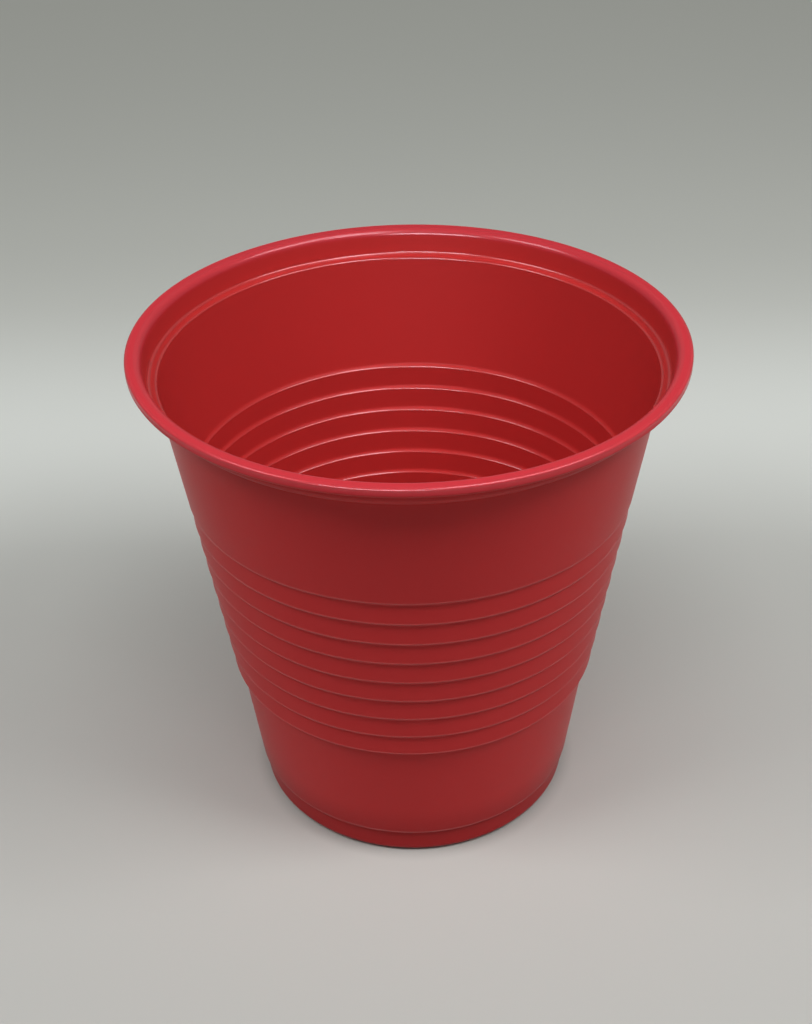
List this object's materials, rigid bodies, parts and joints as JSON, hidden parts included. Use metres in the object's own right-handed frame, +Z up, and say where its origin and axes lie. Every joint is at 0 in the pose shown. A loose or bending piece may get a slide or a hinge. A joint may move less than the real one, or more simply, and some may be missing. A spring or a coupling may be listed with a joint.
{
  "type": "plastic party cup",
  "caption": "Short tapered drinking cup formed from thin glossy plastic, with a curled lip, a stacking ledge, stepped grip ribs and a stepped foot.",
  "frame": {"origin": "on the table under the centre of the cup's foot", "axes": "+Z up along the cup's axis, towards its open mouth; +X and +Y are alike, because the cup is round"},
  "size_m": [0.095, 0.095, 0.0925],
  "materials": {
    "cup_plastic": "satin thermoformed red plastic, with a glossier lip and rib edges"
  },
  "bodies": {
    "root": {"cup": "cup_plastic"}
  },
  "joints": []
}
